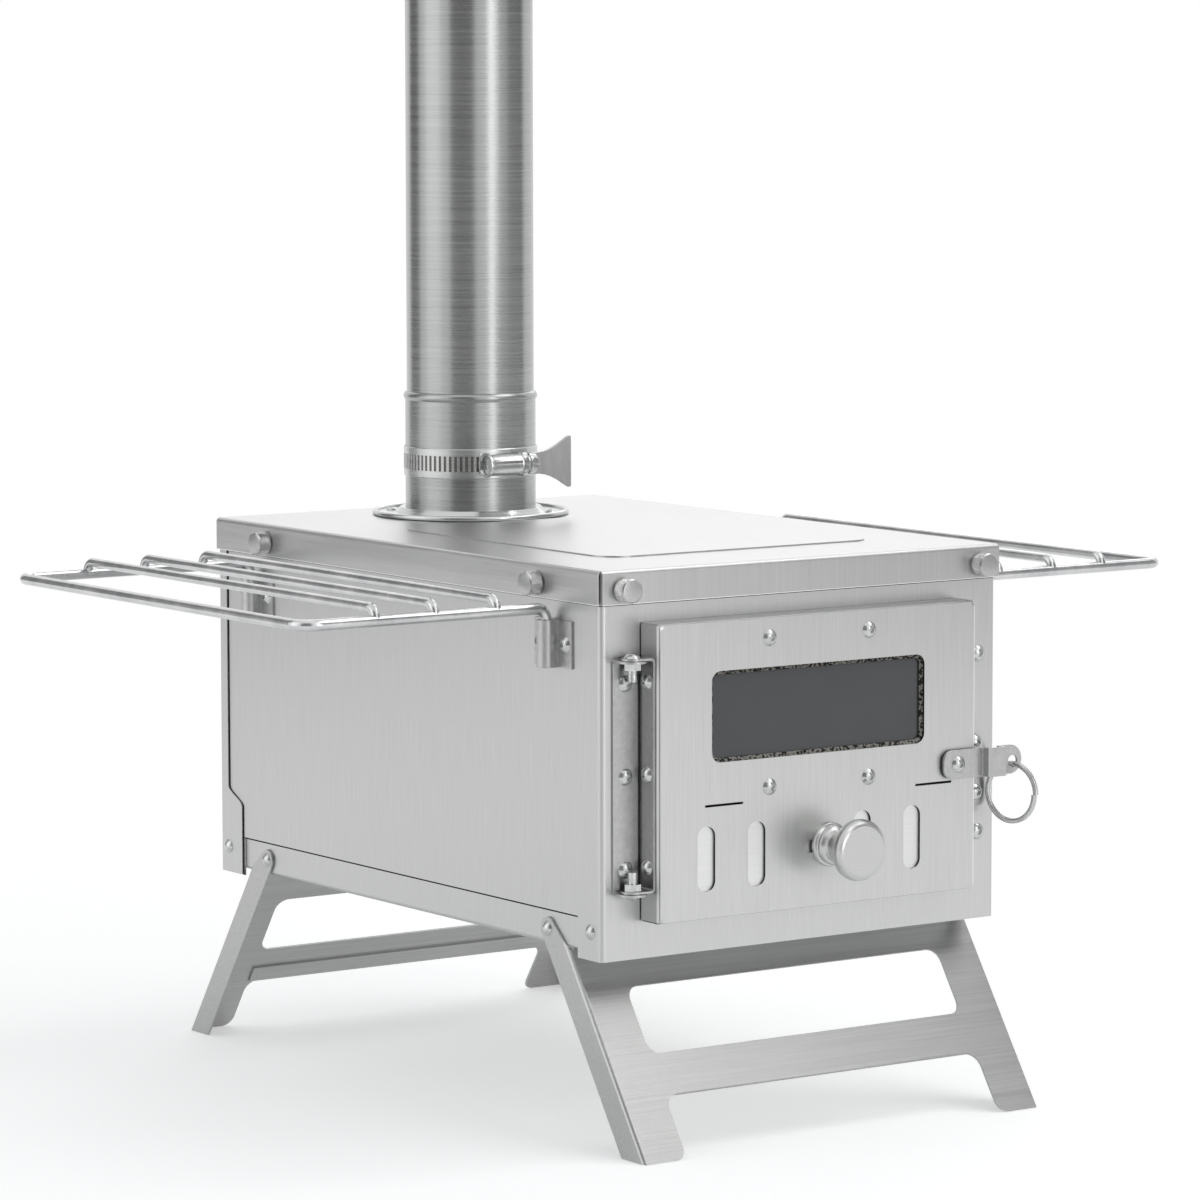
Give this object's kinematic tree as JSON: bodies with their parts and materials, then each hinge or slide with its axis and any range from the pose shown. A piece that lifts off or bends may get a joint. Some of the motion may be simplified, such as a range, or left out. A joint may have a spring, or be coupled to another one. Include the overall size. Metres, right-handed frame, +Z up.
{
  "type": "tent wood stove",
  "caption": "Folding steel tent stove: box firebox with window door and air slide, bolted lid, flue stack with damper and spark arrestor, side racks, folding leg frames.",
  "frame": {"origin": "on the ground under the middle of the firebox", "axes": "+Z up, +X to the right seen from the door, -Y out of the door"},
  "size_m": [0.4708, 0.3849, 0.9261],
  "materials": {
    "brushed_sheet": "fine straight brushing, upright on the walls",
    "pipe_steel": "brushed in rings round the pipe",
    "satin_fittings": "satin, cut and bent strip",
    "grate_steel": "dull mill finish",
    "polished_steel": "polished stainless",
    "bright_hardware": "bright stainless fasteners and wire",
    "smoked_glass": "dark clear ceramic glass",
    "fibre_gasket": "flat woven fibre cord"
  },
  "bodies": {
    "stove": {"firebox_shell": "brushed_sheet", "rear_panel": "brushed_sheet", "floor_tray": "brushed_sheet", "fire_grate": "grate_steel", "body_rivets": "bright_hardware", "leg_rivets": "bright_hardware", "lid": "brushed_sheet", "wall_nuts": "bright_hardware", "flue_collar": "polished_steel", "collar_screws": "bright_hardware", "hinge_body_leaf": "satin_fittings", "hinge_pins": "bright_hardware", "hinge_pin_nuts": "bright_hardware", "body_leaf_screws": "bright_hardware", "latch_catch": "satin_fittings", "front_wall_screws": "bright_hardware", "rack_brackets": "satin_fittings", "bracket_screws": "bright_hardware"},
    "door": {"door_panel": "brushed_sheet", "door_glass": "smoked_glass", "glass_gasket": "fibre_gasket", "glass_retainer": "brushed_sheet", "window_screws": "bright_hardware", "door_nuts": "bright_hardware", "hinge_door_leaf": "satin_fittings", "door_leaf_screws": "bright_hardware", "latch_pivot_screw": "bright_hardware"},
    "air_slide": {"air_slide": "brushed_sheet", "air_knob": "polished_steel", "knob_nut": "bright_hardware"},
    "latch_arm": {"latch_arm": "satin_fittings"},
    "latch_ring": {"latch_ring": "bright_hardware"},
    "front_legs": {"front_leg_frame": "brushed_sheet"},
    "rear_legs": {"rear_leg_frame": "brushed_sheet"},
    "left_rack": {"rack_frame_left": "bright_hardware", "rack_bars_left": "bright_hardware"},
    "right_rack": {"rack_frame_right": "bright_hardware", "rack_bars_right": "bright_hardware"},
    "flue_section": {"flue_pipe": "pipe_steel", "clamp_band_1": "polished_steel"},
    "damper_section": {"damper_pipe": "pipe_steel", "clamp_band_2": "polished_steel"},
    "arrestor": {"spark_arrestor": "pipe_steel", "arrestor_cap": "pipe_steel", "guy_ears": "satin_fittings", "clamp_band_3": "polished_steel"},
    "damper": {"damper_blade": "pipe_steel", "damper_rod": "polished_steel", "damper_spring": "bright_hardware", "damper_nut": "bright_hardware"},
    "thumb_screw_1": {"thumb_screw_1": "bright_hardware"},
    "thumb_screw_2": {"thumb_screw_2": "bright_hardware"},
    "thumb_screw_3": {"thumb_screw_3": "bright_hardware"},
    "thumb_screw_4": {"thumb_screw_4": "bright_hardware"},
    "thumb_screw_5": {"thumb_screw_5": "bright_hardware"},
    "thumb_screw_6": {"thumb_screw_6": "bright_hardware"},
    "clamp_screw_1": {"clamp_wing_1": "bright_hardware"},
    "clamp_screw_2": {"clamp_wing_2": "bright_hardware"},
    "clamp_screw_3": {"clamp_wing_3": "bright_hardware"}
  },
  "joints": [
    {"name": "door_hinge", "type": "hinge", "parent": "stove", "child": "door", "pos_m": [-0.095, -0.1632, 0.16073], "axis": [0, 0, 1], "range_deg": [-130, 0]},
    {"name": "air_slide_travel", "type": "slide", "parent": "door", "child": "air_slide", "axis": [-1, 0, 0], "range_m": [0, 0.0102]},
    {"name": "latch_turn", "type": "hinge", "parent": "door", "child": "latch_arm", "pos_m": [0.0732, -0.171, 0.15463], "axis": [0, -1, 0], "range_deg": [0, 65]},
    {"name": "latch_ring_swing", "type": "hinge", "parent": "latch_arm", "child": "latch_ring", "pos_m": [0.104, -0.17275, 0.15248], "axis": [0.2588, -0.9659, 0], "range_deg": [0, 25]},
    {"name": "front_legs_fold", "type": "hinge", "parent": "stove", "child": "front_legs", "pos_m": [0, -0.1168, 0.09133], "axis": [1, 0, 0], "range_deg": [0, 124]},
    {"name": "rear_legs_fold", "type": "hinge", "parent": "stove", "child": "rear_legs", "pos_m": [0, 0.1168, 0.09133], "axis": [-1, 0, 0], "range_deg": [0, 124]},
    {"name": "left_rack_lift", "type": "slide", "parent": "stove", "child": "left_rack", "axis": [0, 0, 1], "range_m": [0, 0.025]},
    {"name": "right_rack_lift", "type": "slide", "parent": "stove", "child": "right_rack", "axis": [0, 0, 1], "range_m": [0, 0.025]},
    {"name": "flue_lift", "type": "slide", "parent": "stove", "child": "flue_section", "axis": [0, 0, 1], "range_m": [0, 0.042]},
    {"name": "damper_section_lift", "type": "slide", "parent": "flue_section", "child": "damper_section", "axis": [0, 0, 1], "range_m": [0, 0.055]},
    {"name": "arrestor_lift", "type": "slide", "parent": "damper_section", "child": "arrestor", "axis": [0, 0, 1], "range_m": [0, 0.055]},
    {"name": "damper_turn", "type": "hinge", "parent": "damper_section", "child": "damper", "pos_m": [0, 0.105, 0.72408], "axis": [1, 0, 0], "range_deg": [0, 90]},
    {"name": "thumb_screw_1_turn", "type": "hinge", "parent": "stove", "child": "thumb_screw_1", "pos_m": [-0.0965, -0.157, 0.24083], "axis": [0, -1, 0], "continuous": true},
    {"name": "thumb_screw_2_turn", "type": "hinge", "parent": "stove", "child": "thumb_screw_2", "pos_m": [0.0965, -0.157, 0.24083], "axis": [0, -1, 0], "continuous": true},
    {"name": "thumb_screw_3_turn", "type": "hinge", "parent": "stove", "child": "thumb_screw_3", "pos_m": [-0.107, -0.112, 0.24083], "axis": [-1, 0, 0], "continuous": true},
    {"name": "thumb_screw_4_turn", "type": "hinge", "parent": "stove", "child": "thumb_screw_4", "pos_m": [-0.107, 0.112, 0.24083], "axis": [-1, 0, 0], "continuous": true},
    {"name": "thumb_screw_5_turn", "type": "hinge", "parent": "stove", "child": "thumb_screw_5", "pos_m": [0.107, -0.112, 0.24083], "axis": [1, 0, 0], "continuous": true},
    {"name": "thumb_screw_6_turn", "type": "hinge", "parent": "stove", "child": "thumb_screw_6", "pos_m": [0.107, 0.112, 0.24083], "axis": [1, 0, 0], "continuous": true},
    {"name": "clamp_screw_1_turn", "type": "hinge", "parent": "flue_section", "child": "clamp_screw_1", "pos_m": [0, 0.06905, 0.27508], "axis": [1, 0, 0], "continuous": true},
    {"name": "clamp_screw_2_turn", "type": "hinge", "parent": "damper_section", "child": "clamp_screw_2", "pos_m": [0.02542, 0.07958, 0.50358], "axis": [0.7071, 0.7071, 0], "continuous": true},
    {"name": "clamp_screw_3_turn", "type": "hinge", "parent": "arrestor", "child": "clamp_screw_3", "pos_m": [-0.01798, 0.07387, 0.75108], "axis": [0.866, -0.5, 0], "continuous": true}
  ]
}
